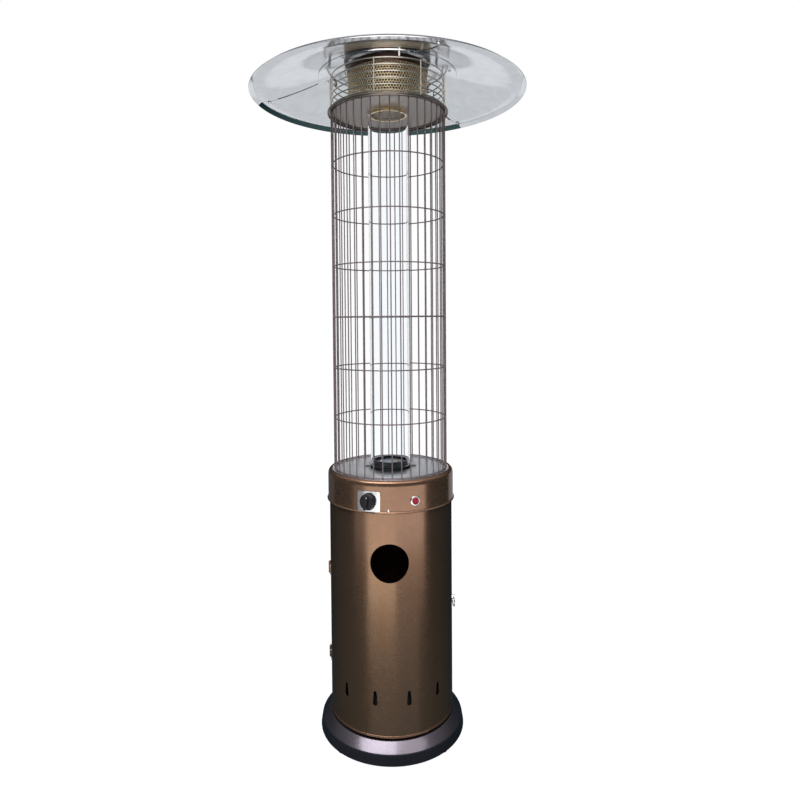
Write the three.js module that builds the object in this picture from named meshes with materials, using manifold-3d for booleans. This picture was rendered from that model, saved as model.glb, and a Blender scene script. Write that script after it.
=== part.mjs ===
// Flame-tube patio heater: a round gas heater with a bottle compartment, a control housing,
// a glass flame tube in a wire guard, and a perforated emitter under a flared reflector.
// Millimetres, +Z up, the front faces -Y. The origin is on the ground, on the heater's axis.
// A bearing is an angle round that axis in degrees: 0 at the front, 90 at the right (+X).
import * as THREE from 'three';
import { mergeVertices } from 'three/addons/utils/BufferGeometryUtils.js';
import Module from 'manifold-3d';

const wasm = await Module();
wasm.setup();

// ---------------------------------------------------------------- driving dimensions
const GAP = 0.3; // clearance between parts that touch on the real heater
const SHEET = 1.5; // sheet steel of the housings
const FACETS = 36; // facets round the large turned parts

const FOOT = { radius: 12, height: 3.7, circle: 203, count: 4 };
const BASE = { radius: 218, bottom: 4, deck: 56.3, sheet: 2 };
const TANK = { radius: 185, bottom: 62.4, top: 703, doorTop: 698.8, seam: 0.3 };
const HAND_HOLE = { bearing: -1.5, height: 558.6, radius: 55 };
const SLOT = { low: 160, high: 190.5, wide: 7, narrow: 4.5, spacing: 30 };
const POST = { bearing: 83, leg: 22, thick: 2, face: 179.6 };
const MAGNET = { bearing: 92, height: 640 };
const HINGE = { radius: 188.8, heights: { lower: 218, upper: 480 }, tall: 34, knuckle: 3.4 };
const PIN = { radius: 1.4, bore: 1.8, head: 2.6 };
const PULL = { bearing: 97, radius: 194.6, height: 373.5, ring: 15, wire: 1.8 };
const PANEL = { radius: 189.3, bottom: 699.6, lip: 193, shoulder: 790, ledge: 787.8 };
const KNOB = { bearing: -19, height: 732.5, radius: 23, rest: 5.6, reach: 20, spindle: 4 };
const BEZEL = { width: 66, height: 57, corner: 6, sheet: 1.4 };
const IGNITER = { bearing: 21, height: 733, collar: 14.5, button: 9 };
const DECK = { radius: 176, top: 789.6, hole: 45.3 };
const BURNER = { flange: 61, collar: 52, seat: 796, top: 812, throat: 742 };
const TUBE = { radius: 59.5, wall: 3, top: 1850.9 };
const CAGE = { rods: 40, phase: 1.7, rodCircle: 170, rodWire: 2.3, ringWire: 1.9 };
const CAGE_RINGS = { first: 792, pitch: 151, count: 8, quarters: 4, welds: [2, 6] };
const TOP_PLATE = { radius: 180, under: 1851.5, hole: 50 };
const EMITTER = { radius: 118.5, top: 1983.5, band: 1963 };
const HEAD_GUARD = { radius: 168, first: 1861, pitch: 18, rings: 6, wire: 1.9 };
const REFLECTOR = { radius: 406.5, rim: 1909.5, brim: 364, rise: 131.5, flare: 1.3, sheet: 1.2 };
const LIP = { drop: 8, reach: 14 }; // the reflector's turned-down edge
const CENTRE_DISC = { radius: 205, crown: 60 };
const SEAMS = [21, 141, 261]; // bearings of the reflector's three radial joints
const SEAM_GAP = 0.12; // degrees from a joint's line to the edge of each panel
const SEAM_SCREW = { radius: 370, turn: -1.2 };
const REFLECTOR_POST = { circle: 168, bearings: [11, 131, 251], radius: 4, stud: 3 };

// ---------------------------------------------------------------- materials
const finish = (color, roughness, metalness, extra = {}) =>
  new THREE.MeshStandardMaterial({ color, roughness, metalness, ...extra });
const bronzePaint = finish(0x6b4a34, 0.35, 0.6);
const darkPaint = finish(0x2a2226, 0.3, 0.5);
const wireCoat = finish(0x4a3c38, 0.45, 0.4);
const brightSteel = finish(0xc4c4c8, 0.2, 1);
const polishedSteel = finish(0xcacace, 0.12, 1);
const galvanised = finish(0x9a9c9e, 0.45, 0.9);
const meshSteel = finish(0x9c8358, 0.4, 0.8);
const burntSteel = finish(0x2b2a2c, 0.5, 0.7);
const brass = finish(0xb08d4a, 0.35, 0.9);
const blackPlastic = finish(0x17181a, 0.45, 0);
const redPlastic = finish(0xc0182c, 0.3, 0);
const rubber = finish(0x141414, 0.85, 0);
const ceramic = finish(0xeeeae2, 0.5, 0);
const glass = finish(0xdfe8f2, 0.05, 0, { transparent: true, opacity: 0.25 });

// ---------------------------------------------------------------- shapes
const rad = THREE.MathUtils.degToRad;

/** The closed solid inside a geometry, ready to be cut or joined. */
function solid(geometry) {
  const bare = geometry.clone();
  bare.deleteAttribute('normal');
  bare.deleteAttribute('uv');
  const { index, attributes } = mergeVertices(bare, 1e-4);
  const triVerts = [];
  for (let i = 0; i < index.count; i += 3) {
    const corners = [index.getX(i), index.getX(i + 1), index.getX(i + 2)];
    if (new Set(corners).size === 3) triVerts.push(...corners);
  }
  const vertProperties = attributes.position.array;
  const mesh = new wasm.Mesh({ numProp: 3, vertProperties, triVerts: new Uint32Array(triVerts) });
  return new wasm.Manifold(mesh);
}

const join = (...geometries) => geometries.map(solid).reduce((a, b) => a.add(b));
const cut = (body, ...cutters) => cutters.map(solid).reduce((a, b) => a.subtract(b), body);

/** A cut or joined solid as a faceted geometry again. */
function geometryOf(made) {
  const { numProp, vertProperties, triVerts } = made.getMesh();
  const indexed = new THREE.BufferGeometry();
  indexed.setAttribute('position', new THREE.BufferAttribute(vertProperties, numProp));
  indexed.setIndex(new THREE.BufferAttribute(triVerts, 1));
  const faceted = indexed.toNonIndexed();
  faceted.computeVertexNormals();
  return faceted;
}

/** A turned part: its outline of [radius, height] points, spun about +Z. */
function turned(outline, facets = FACETS) {
  const points = outline.map(([r, z]) => new THREE.Vector2(r, z));
  if (outline[0][0] > 0) points.push(points[0].clone());
  if (THREE.ShapeUtils.area(points) < 0) points.reverse();
  return new THREE.LatheGeometry(points, facets).rotateX(Math.PI / 2);
}

/** A flat outline drawn as seen from the front, made solid towards -Y. */
const upright = (shape, depth, curveSegments = 4) =>
  new THREE.ExtrudeGeometry(shape, { depth, bevelEnabled: false, curveSegments })
    .rotateX(Math.PI / 2);

/** A straight bar of a regular section, from z = 0 up, with one corner towards -Y. */
function bar(radius, sides, length) {
  const corner = (k) => new THREE.Vector2(0, -radius)
    .rotateAround(new THREE.Vector2(), (k * 2 * Math.PI) / sides);
  const shape = new THREE.Shape(Array.from({ length: sides }, (_, k) => corner(k)));
  return new THREE.ExtrudeGeometry(shape, { depth: length, bevelEnabled: false });
}

/** A block from its two opposite corners. */
function block([x0, y0, z0], [x1, y1, z1]) {
  return new THREE.BoxGeometry(x1 - x0, y1 - y0, z1 - z0)
    .translate((x0 + x1) / 2, (y0 + y1) / 2, (z0 + z1) / 2);
}

/** A tube along a smooth curve through points. */
function tube(points, radius, sides, steps) {
  const route = new THREE.CatmullRomCurve3(points.map((p) => new THREE.Vector3(...p)));
  const section = new THREE.Shape().absarc(0, 0, radius, 0, 2 * Math.PI);
  const curveSegments = sides / 2;
  return new THREE.ExtrudeGeometry(section, { steps, extrudePath: route, curveSegments });
}

/** The space between two bearings, to cut an arc out of a turned part. */
function sector(from, to, bottom = -10, top = 2100, reach = 520) {
  const steps = Math.ceil((to - from) / 20);
  const corners = [new THREE.Vector2(0, 0)];
  for (let i = 0; i <= steps; i++) {
    const bearing = rad(from + ((to - from) * i) / steps);
    corners.push(new THREE.Vector2(reach * Math.sin(bearing), -reach * Math.cos(bearing)));
  }
  return new THREE.ExtrudeGeometry(new THREE.Shape(corners), {
    depth: top - bottom,
    bevelEnabled: false,
  }).translate(0, 0, bottom);
}

/** An arc of a turned outline between two bearings. */
const arc = (outline, from, to, facets = FACETS) =>
  solid(turned(outline, facets)).intersect(solid(sector(from, to)));

/** Moves a geometry whose outward side is -Y to its bearing, radius and height. */
function at(geometry, bearing, radius, height = 0) {
  const b = rad(bearing);
  return geometry.rotateZ(b).translate(radius * Math.sin(b), -radius * Math.cos(b), height);
}

/** Turns a geometry that stands along +Z to lie along -Y, which is outward. */
const outward = (geometry) => geometry.rotateX(Math.PI / 2);

// ---------------------------------------------------------------- scene graph
const heater = new THREE.Group();

function add(name, shape, material, parent = heater) {
  const mesh = new THREE.Mesh(shape.isBufferGeometry ? shape : geometryOf(shape), material);
  mesh.name = name;
  parent.add(mesh);
}

/** A group at a bearing, radius and height, with -Y outward, +X to its right and +Z up. */
function station(bearing, radius, height = 0) {
  const group = new THREE.Group();
  const b = rad(bearing);
  group.position.set(radius * Math.sin(b), -radius * Math.cos(b), height);
  group.rotation.z = b;
  heater.add(group);
  return group;
}

// ---------------------------------------------------------------- base
function makeBase() {
  const under = BASE.deck - BASE.sheet;
  const pan = turned([
    [0, under], [185, under], [208.4, 32], [212.2, 28.6], [215.6, 6], [190, 6],
    [190, BASE.bottom], [217, BASE.bottom], [BASE.radius, 6], [215, 29], [211.4, 34.4],
    [187.8, 57.2], [186, BASE.deck], [0, BASE.deck],
  ]);
  add('base_pan', pan, darkPaint);
  for (let i = 0; i < FOOT.count; i++) {
    const { radius, height } = FOOT;
    const puck = turned([[0, 0], [radius, 0], [radius - 1.5, height], [0, height]], 12);
    add(`foot_${i + 1}`, puck, rubber, station(45 + (i * 360) / FOOT.count, FOOT.circle));
  }
}

// ---------------------------------------------------------------- tank housing
/** The outline of the housing wall, with a rolled bead at its foot. */
function tankWall(top) {
  const { radius, bottom } = TANK;
  return [
    [radius - SHEET, bottom], [radius + 1.6, bottom], [radius + 2.4, bottom + 2.4],
    [radius, bottom + 6], [radius, top], [radius - SHEET, top],
  ];
}

/** An upright vent slot, wider at its foot, with round ends. */
function ventSlot(bearing) {
  const shape = new THREE.Shape()
    .absarc(0, SLOT.low, SLOT.wide, Math.PI, 2 * Math.PI)
    .absarc(0, SLOT.high, SLOT.narrow, 0, Math.PI);
  return at(upright(shape, 12, 3), bearing, TANK.radius - 6);
}

/** The bearings of the slots in a half housing centred on a bearing. */
const slotBearings = (centre) =>
  [-2.5, -1.5, -0.5, 0.5, 1.5, 2.5].map((k) => centre + k * SLOT.spacing);

function makeTankHousing() {
  const { bearing, height, radius } = HAND_HOLE;
  const half = 90 - TANK.seam;
  const handHole = at(outward(bar(radius, 24, 20)), bearing, TANK.radius - 12, height);
  const front = arc(tankWall(TANK.top), -half, half);
  add('tank_shell', cut(front, handHole, ...slotBearings(0).map(ventSlot)), bronzePaint);
  const rear = arc(tankWall(TANK.doorTop), 180 - half, 180 + half);
  add('tank_door', cut(rear, ...slotBearings(180).map(ventSlot)), bronzePaint);

  const { leg, thick, face } = POST;
  const bottom = BASE.deck + GAP;
  const tall = PANEL.ledge - SHEET - GAP - bottom;
  for (const [side, sign] of [['left', -1], ['right', 1]]) {
    const angle = new THREE.Shape([
      [-sign * leg / 2, 0], [sign * leg / 2, 0], [sign * leg / 2, thick],
      [-sign * (leg / 2 - thick), thick], [-sign * (leg / 2 - thick), leg],
      [-sign * leg / 2, leg],
    ].map(([x, y]) => new THREE.Vector2(x, y)));
    const post = new THREE.ExtrudeGeometry(angle, { depth: tall, bevelEnabled: false });
    add(`frame_post_${side}`, post, galvanised, station(sign * POST.bearing, face, bottom));
  }
  const magnetFace = TANK.radius - SHEET - 1.3;
  const magnet = at(block([-6, 0, -15], [6, 12, 15]), MAGNET.bearing, magnetFace, MAGNET.height);
  const arm = at(block([-32, 5, -12], [-5, 8, 12]), MAGNET.bearing, face, MAGNET.height);
  add('magnet_catch', join(magnet, arm), blackPlastic);
}

// ---------------------------------------------------------------- door hinges
/** One hinge leaf: side is 1 for the fixed leaf in front of the pin, -1 for the door's. */
function hingeLeaf(side, height, knuckles) {
  const { radius, knuckle, tall } = HINGE;
  const [inner, outer] = [TANK.radius + GAP, TANK.radius + 1.8];
  const [low, high] = [height - tall / 2, height + tall / 2];
  const bearings = side > 0 ? [-88.5, -82] : [-98, -91.5];
  const plate = [[inner, low], [outer, low], [outer, high], [inner, high]];
  let leaf = arc(plate, ...bearings);
  for (const [from, to] of knuckles) {
    const barrel = bar(knuckle, 10, to - from).translate(-radius, 0, from);
    const [near, far] = side > 0 ? [-6, -1] : [1, 6];
    const web = block([-radius + 0.4, near, from], [-inner, far, to]);
    leaf = leaf.add(solid(barrel)).add(solid(web));
  }
  return cut(leaf, bar(PIN.bore, 10, tall + 2).translate(-radius, 0, low - 1));
}

function makeHinges() {
  for (const [name, height] of Object.entries(HINGE.heights)) {
    const reach = HINGE.tall / 2;
    const third = HINGE.tall / 6;
    const fixed = [[height - third, height + third]];
    const moving = [
      [height - reach, height - third - GAP],
      [height + third + GAP, height + reach],
    ];
    add(`hinge_${name}_fixed`, hingeLeaf(1, height, fixed), bronzePaint);
    add(`hinge_${name}_leaf`, hingeLeaf(-1, height, moving), bronzePaint);
    const pin = turned([
      [0, -reach - 2], [PIN.head, -reach - 2], [PIN.head, -reach - GAP - 0.1],
      [PIN.radius, -reach - GAP - 0.1], [PIN.radius, reach + GAP + 0.1],
      [PIN.head, reach + GAP + 0.1], [PIN.head, reach + 2], [0, reach + 2],
    ], 10);
    add(`hinge_${name}_pin`, pin, galvanised, station(-90, HINGE.radius, height));
  }
}

// ---------------------------------------------------------------- door pull
function makePull() {
  const { bearing, radius, height, ring, wire } = PULL;
  const [inner, outer] = [TANK.radius + GAP, TANK.radius + 1.7];
  const plate = arc(
    [[inner, height - 34], [outer, height - 34], [outer, height + 7], [inner, height + 7]],
    bearing - 3.6,
    bearing + 3.6,
  );
  const boss = at(block([-3.5, -5, -5], [3.5, radius - inner - 0.3, 5]), bearing, radius, height);
  const eye = at(bar(2.7, 10, 12).translate(0, 0, -6).rotateY(Math.PI / 2), bearing, radius, height);
  add('pull_bracket', cut(plate.add(solid(boss)), eye), brightSteel);
  const loop = new THREE.TorusGeometry(ring, wire, 6, 18).rotateX(Math.PI / 2)
    .translate(0, 0, -ring);
  add('pull_ring', loop, brightSteel, station(bearing, radius, height));
}

// ---------------------------------------------------------------- control housing
function makeControlHousing() {
  const { radius, bottom, lip, shoulder, ledge } = PANEL;
  const inner = radius - SHEET;
  const shell = solid(turned([
    [inner, bottom], [lip - 1, bottom], [lip, bottom + 1.8], [radius, bottom + 4],
    [radius, 777], [186.6, 785.8], [181, shoulder], [178, ledge], [160, ledge],
    [160, ledge - SHEET], [181, ledge - SHEET], [185.4, 783], [inner, 776.5],
  ]));
  const knobHole = at(outward(bar(8, 12, 12)), KNOB.bearing, radius - 8, KNOB.height);
  const igniterHole = at(outward(bar(12, 16, 12)), IGNITER.bearing, radius - 8, IGNITER.height);
  add('control_housing', cut(shell, knobHole, igniterHole), bronzePaint);
  const deck = turned([
    [DECK.hole, DECK.top - SHEET], [DECK.radius, DECK.top - SHEET],
    [DECK.radius, DECK.top], [DECK.hole, DECK.top],
  ]);
  add('burner_deck', deck, polishedSteel);
}

/** A square with round corners, centred on the origin. */
function roundedSquare(width, height, corner) {
  const [w, h] = [width / 2 - corner, height / 2 - corner];
  return new THREE.Shape()
    .absarc(w, h, corner, 0, Math.PI / 2)
    .absarc(-w, h, corner, Math.PI / 2, Math.PI)
    .absarc(-w, -h, corner, Math.PI, 1.5 * Math.PI)
    .absarc(w, -h, corner, 1.5 * Math.PI, 2 * Math.PI);
}

/** The knob, its spindle and the gas valve behind them, along one outward axis. */
function makeKnob() {
  const { bearing, height, radius, rest, reach, spindle } = KNOB;
  const [inner, outer] = [PANEL.radius + GAP, PANEL.radius + GAP + BEZEL.sheet];
  const band = solid(turned([
    [inner, height - 40], [outer, height - 40], [outer, height + 40], [inner, height + 40],
  ], 60));
  const outline = upright(roundedSquare(BEZEL.width, BEZEL.height, BEZEL.corner), 30);
  const plate = band.intersect(solid(at(outline, bearing, PANEL.radius - 15, height)));
  const hole = at(outward(bar(8, 12, 12)), bearing, PANEL.radius - 6, height);
  add('knob_bezel', cut(plate, hole), brightSteel);

  const front = station(bearing, PANEL.radius, height);
  const body = outward(turned([
    [0, rest], [radius, rest], [radius, rest + 3], [radius - 2.5, rest + 5],
    [radius - 4, rest + 12], [radius - 5.5, rest + 13.5], [0, rest + 13.5],
  ], 22));
  const grip = block([-4.5, -(rest + reach), 3 - radius], [4.5, -(rest + 12), radius - 3])
    .rotateY(rad(10));
  const socket = outward(bar(spindle + GAP + 0.1, 12, 11)).translate(0, -rest + 1, 0);
  add('control_knob', cut(join(body, grip), socket), blackPlastic, front);

  const shaft = outward(bar(spindle, 12, rest + 9 + 20)).translate(0, 20, 0);
  add('valve_spindle', shaft, galvanised, front);
  const bush = outward(turned([
    [spindle + GAP + 0.1, 8], [6.4, 8], [6.4, 14], [spindle + GAP + 0.1, 14],
  ], 12)).translate(0, 20.5, 0);
  add('spindle_bush', bush, brass, front);

  const valveBody = block([-17, 25, -16], [17, 60, 16]);
  const bracket = block([-25, 20.6, -18], [25, 25.4, 18]);
  const wings = [-25, 22].map((x) => block([x, 9, -18], [x + 3, 21, 18]));
  const snout = outward(bar(10, 12, 4)).translate(0, 21, 0);
  const bore = outward(bar(spindle + 1, 12, 9)).translate(0, 24.6, 0);
  const inlet = turned([
    [0, -54], [4.5, -54], [5.6, -48], [4.5, -48], [5.6, -42], [4.5, -42], [4.5, -34],
    [8, -34], [8, -24], [6, -24], [6, -15], [0, -15],
  ], 12).translate(0, 44, 0);
  const valve = cut(join(valveBody, bracket, ...wings, snout, inlet), bore);
  add('gas_valve', valve, brass, front);

  const pipe = bar(4, 10, PANEL.radius - 60.4 - 8).rotateX(-Math.PI / 2).translate(0, 60.4, 0);
  const injectorBody = block([-10, -10, 722.5 - height], [10, 10, 741.6 - height]);
  const nozzle = bar(4, 10, 12).translate(0, 0, 741 - height);
  const injector = join(injectorBody, nozzle).translate(0, PANEL.radius, 0);
  add('gas_pipe', solid(pipe).add(injector), brass, front);
}

/** The piezo igniter and its push button, along one outward axis. */
function makeIgniter() {
  const { bearing, height, collar, button } = IGNITER;
  const side = station(bearing, PANEL.radius, height);
  const bore = button + GAP;
  const ring = outward(turned([
    [bore, -17], [11.4, -17], [11.4, 0.6], [collar, 0.6], [collar, 2.6], [collar - 1.6, 4],
    [bore, 4],
  ], 18));
  add('igniter_collar', ring, brightSteel, side);
  const push = outward(turned([
    [0, -10], [button, -10], [button, 7.4], [button - 1.8, 9], [0, 9.4],
  ], 18));
  add('igniter_button', push, redPlastic, side);
  const piezo = outward(turned([
    [0, -58], [4, -58], [4, -50], [11, -50], [11, -17.4], [0, -17.4],
  ], 12));
  add('piezo_igniter', piezo, blackPlastic, side);
}

// ---------------------------------------------------------------- burner
const ELECTRODE = [-27, 8];
const THERMOCOUPLE = [24, -14];

function makeBurner() {
  const { flange, collar, seat, top, throat } = BURNER;
  const rest = DECK.top + GAP;
  const facets = 16;
  const cup = solid(turned([
    [12, throat], [14, throat], [14, 760], [40, 776], [44.6, rest], [flange, rest],
    [flange, seat - 1], [collar, seat], [collar, top], [collar - 3, top],
    [collar - 3, 798], [38.6, 777.4], [12, 761.4],
  ], facets));
  const throughHoles = [ELECTRODE, THERMOCOUPLE].map(([x, y]) =>
    bar(3.2, 8, 70).translate(x, y, 745));
  add('burner_cup', cut(cup, ...throughHoles), burntSteel);
  const screenRadius = collar - 3.4;
  const screen = solid(turned([
    [0, 800], [screenRadius, 800], [screenRadius, 801.6], [0, 804],
  ], facets));
  add('burner_head', cut(screen, ...throughHoles), meshSteel);

  const spark = turned([
    [0, 745], [2.6, 745], [2.6, 808], [1, 810], [1, 818], [0, 818],
  ], 8).translate(...ELECTRODE, 0);
  add('spark_electrode', spark, ceramic);
  const probe = bar(2, 8, 67).translate(...THERMOCOUPLE, 746);
  add('thermocouple', probe, brass);

  const start = PANEL.radius - 58.4;
  const b = rad(IGNITER.bearing);
  const leadOut = (distance, drop) =>
    [(start - distance) * Math.sin(b), -(start - distance) * Math.cos(b), IGNITER.height - drop];
  const [ex, ey] = ELECTRODE;
  const lead = tube([
    leadOut(0, 0), leadOut(14, 1), leadOut(50, 14), [8, -42, 709], [-16, -16, 706],
    [ex, ey - 4, 713], [ex, ey, 730], [ex, ey, 744.6],
  ], 1.8, 6, 18);
  add('ignition_lead', lead, rubber);

  const switchTop = DECK.top - SHEET - GAP;
  add('tilt_switch', block([56, 50, switchTop - 24], [84, 68, switchTop]), blackPlastic);

  for (const [side, bearing] of [['left', -90], ['right', 90]]) {
    const foot = block([-6, -15, 0], [6, 0, 1.4]);
    const tab = block([-6, -0.6, 0], [6, 1.2, 12]);
    const screw = turned([[0, 1], [3.6, 1], [3.6, 2.6], [2, 3.8], [0, 3.8]], 8).translate(0, -8, 0);
    const clip = join(foot, tab, screw);
    add(`tube_clip_${side}`, clip, brightSteel, station(bearing, BURNER.flange + 2, rest));
  }
}

// ---------------------------------------------------------------- wire work
/** A ring of wire whose outer edge is at a radius. */
const wireRing = (outer, height, wire, facets, phase) => turned([
  [outer, height], [outer - 1.75 * wire, height + wire], [outer - 1.75 * wire, height - wire],
], facets).rotateZ(rad(phase));

/** A wire rod of three sides with an edge towards the axis, which crosses a ring's outer edge. */
const wireRod = (wire, length) => bar(wire, 3, length).rotateZ(Math.PI);

/** The column's guard, in quarters: upright rods welded outside the rings. */
function makeCage() {
  const { rods, phase, rodCircle, rodWire, ringWire } = CAGE;
  const { first, pitch, count, quarters, welds } = CAGE_RINGS;
  const [spacing, share] = [360 / rods, rods / quarters];
  const rodEdge = rodCircle - rodWire;
  const length = pitch * (count - 1) + 4;
  const rod = (k) => solid(at(wireRod(rodWire, length), phase + k * spacing, rodCircle, first - 2));
  const footRing = solid(wireRing(rodEdge + 0.7, first, ringWire, rods, phase));
  for (let q = 0; q < quarters; q++) {
    const start = phase + (q * share - 0.5) * spacing;
    const span = solid(sector(start + 0.1, start + share * spacing - 0.1));
    let quarter = footRing.intersect(span);
    for (let k = 0; k < share; k++) quarter = quarter.add(rod(q * share + k));
    for (let i = 1; i < count; i++) {
      const height = first + pitch * i;
      const ring = solid(wireRing(rodEdge - GAP - 0.1, height, ringWire, rods / 2, phase));
      quarter = quarter.add(ring.intersect(span));
      for (const k of welds) {
        const weld = block([-0.9, -1.2, -0.9], [0.9, 1.2, 0.9]);
        const bearing = phase + (q * share + k) * spacing;
        quarter = quarter.add(solid(at(weld, bearing, rodEdge, height)));
      }
    }
    add(`guard_cage_${q + 1}`, quarter, wireCoat);
  }
}

function makeHeadGuard() {
  const { radius, first, pitch, rings, wire } = HEAD_GUARD;
  const bearings = [-87.5, -12.5, 32.5, 77.5, 122.5, 167.5, 212.5];
  const circle = radius + 2 * wire - 0.7;
  let guard = null;
  for (let i = 0; i < rings; i++) {
    const ring = solid(wireRing(radius + wire, first + pitch * i, wire, 24, bearings[0]));
    guard = guard ? guard.add(ring) : ring;
  }
  const low = TOP_PLATE.under + 2 + GAP;
  const length = first + pitch * (rings - 1) + 1 - low;
  for (const bearing of bearings) {
    guard = guard.add(solid(at(wireRod(wire, length), bearing, circle, low)));
  }
  add('head_guard', guard, brightSteel);
}

// ---------------------------------------------------------------- flame tube and head
function makeHead() {
  const { radius, wall, top } = TUBE;
  const foot = BURNER.seat + GAP;
  add('glass_tube', turned([
    [radius - wall, foot], [radius, foot], [radius, top], [radius - wall, top],
  ], 28), glass);

  const { under, hole } = TOP_PLATE;
  const lip = TOP_PLATE.radius;
  add('top_plate', turned([
    [hole, under], [lip - 3.6, under], [lip - 3.6, under - 4.8], [lip - 2, under - 6],
    [lip, under - 4], [lip, under + 0.8], [lip - 1.4, under + 2], [hole, under + 2],
  ]), polishedSteel);

  const cupRadius = radius - wall - 0.6;
  const cupTop = under - GAP;
  add('flue_mesh', turned([
    [0, cupTop - 8], [cupRadius, cupTop - 8], [cupRadius, cupTop], [cupRadius - 1.2, cupTop],
    [cupRadius - 1.2, cupTop - 6.8], [0, cupTop - 6.8],
  ], 24), meshSteel);

  const screen = EMITTER.radius;
  add('emitter_screen', turned([
    [screen - 1.2, under + 2 + GAP], [screen, under + 2 + GAP], [screen, EMITTER.top],
    [screen - 1.2, EMITTER.top],
  ], 32), meshSteel);
  add('emitter_cap', turned([
    [0, EMITTER.top + 0.4], [screen + 0.5, EMITTER.top + 0.4], [screen + 0.5, EMITTER.band],
    [screen + 1.7, EMITTER.band], [screen + 1.7, EMITTER.top + 1.6], [0, EMITTER.top + 1.6],
  ], 32), burntSteel);
}

// ---------------------------------------------------------------- reflector
/** The height of the reflector's underside at a radius: a flared bowl with a flat brim. */
const domeZ = (r) => {
  const { rim, brim, rise, flare } = REFLECTOR;
  return rim + rise * Math.max(0, 1 - r / brim) ** flare;
};

/** The outline of a strip of reflector sheet, from its largest radius to its smallest. */
function domeStrip(radii, lift, sheet) {
  const line = (extra) => radii.map((r) => [r, domeZ(r) + lift + extra]);
  return [...line(0), ...line(sheet).reverse()];
}

/** A fastener's place on the dome: its axis stands square to the sheet. */
function onDome(geometry, bearing, radius, lift) {
  const slope = Math.atan((domeZ(radius - 2) - domeZ(radius + 2)) / 4);
  return at(geometry.rotateX(slope), bearing, radius, domeZ(radius) + lift);
}

function makeReflector() {
  const { radius, rim, brim, sheet } = REFLECTOR;
  const { radius: centre, crown } = CENTRE_DISC;
  const [lapInner, lap] = [192, sheet + GAP];
  const crownTop = domeZ(crown) + 2;
  const disc = [centre, 150, 100, crown];
  const studHoles = REFLECTOR_POST.bearings.map((b) =>
    at(bar(REFLECTOR_POST.stud + 0.6, 10, 60), b, REFLECTOR_POST.circle, 1940));
  const centreDisc = solid(turned([
    [0, crownTop], ...disc.toReversed().map((r) => [r, domeZ(r)]),
    ...disc.map((r) => [r, domeZ(r) + sheet]), [0, crownTop + sheet],
  ]));
  add('reflector_centre', cut(centreDisc, ...studHoles), polishedSteel);

  const bands = [388, brim, 335, 275, 225, lapInner];
  const panelOutline = [
    [radius - 1, rim - LIP.drop], [radius, rim - LIP.drop + 1],
    [radius - LIP.reach + 0.7, rim + lap + sheet],
    ...bands.map((r) => [r, domeZ(r) + lap + sheet]),
    ...bands.toReversed().map((r) => [r, domeZ(r) + lap]),
    [radius - LIP.reach, rim + lap],
  ];
  const strip = bands.slice(0, 5);
  SEAMS.forEach((seam, i) => {
    const next = seam + 120;
    const panel = arc(panelOutline, seam + SEAM_GAP, next - SEAM_GAP)
      .add(arc(domeStrip(strip, lap, 2 * sheet + GAP), seam + SEAM_GAP, seam + 1.4))
      .add(arc(domeStrip(strip, lap + sheet + GAP, sheet), seam - 2.4, seam + 1));
    const holes = [seam, next].map((s) =>
      onDome(bar(3.4, 10, 16).translate(0, 0, -8), s + SEAM_SCREW.turn, SEAM_SCREW.radius, lap));
    add(`reflector_panel_${i + 1}`, cut(panel, ...holes), polishedSteel);
    const top = 2 * sheet + GAP + 0.9;
    const screw = turned([
      [0, -9], [3, -8.6], [4.4, -6], [4.4, -0.6], [3, -0.6], [3, top], [5.5, top],
      [5.5, top + 1.6], [3.5, top + 3.4], [0, top + 3.4],
    ], 10);
    const place = onDome(screw, seam + SEAM_SCREW.turn, SEAM_SCREW.radius, lap);
    add(`seam_screw_${i + 1}`, place, brightSteel);
  });

  const { circle, bearings, radius: post, stud } = REFLECTOR_POST;
  const foot = HEAD_GUARD.first + HEAD_GUARD.pitch * (HEAD_GUARD.rings - 1) + HEAD_GUARD.wire + GAP;
  const shoulder = domeZ(circle + post) - GAP;
  const nutSeat = domeZ(circle - 7) + sheet + GAP;
  bearings.forEach((bearing, i) => {
    const spot = station(bearing, circle);
    add(`reflector_post_${i + 1}`, turned([
      [0, foot], [post, foot], [post, shoulder], [stud, shoulder], [stud, nutSeat + 12],
      [0, nutSeat + 12],
    ], 10), brightSteel, spot);
    const hub = turned([
      [stud + 0.4, nutSeat], [6.5, nutSeat], [5.5, nutSeat + 8], [stud + 0.4, nutSeat + 8],
    ], 10);
    const wings = [-1, 1].map((sign) =>
      block([5, -1.2, 0], [14, 1.2, 11]).rotateZ(sign > 0 ? 0 : Math.PI)
        .translate(0, 0, nutSeat + 2));
    add(`wing_nut_${i + 1}`, join(hub, ...wings), brightSteel, spot);
  });
}

makeBase();
makeTankHousing();
makeHinges();
makePull();
makeControlHousing();
makeKnob();
makeIgniter();
makeBurner();
makeCage();
makeHead();
makeHeadGuard();
makeReflector();

export default heater;
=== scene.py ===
"""Looks for a flame-tube patio heater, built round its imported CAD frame.

Shapes are made in millimetres and become metres as they turn into objects. A bearing is an angle
round the heater's axis in degrees: 0 at the front (-Y) and 90 at the right (+X).
"""

import math

import bmesh
import bpy
from mathutils import Matrix, Vector


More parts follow.
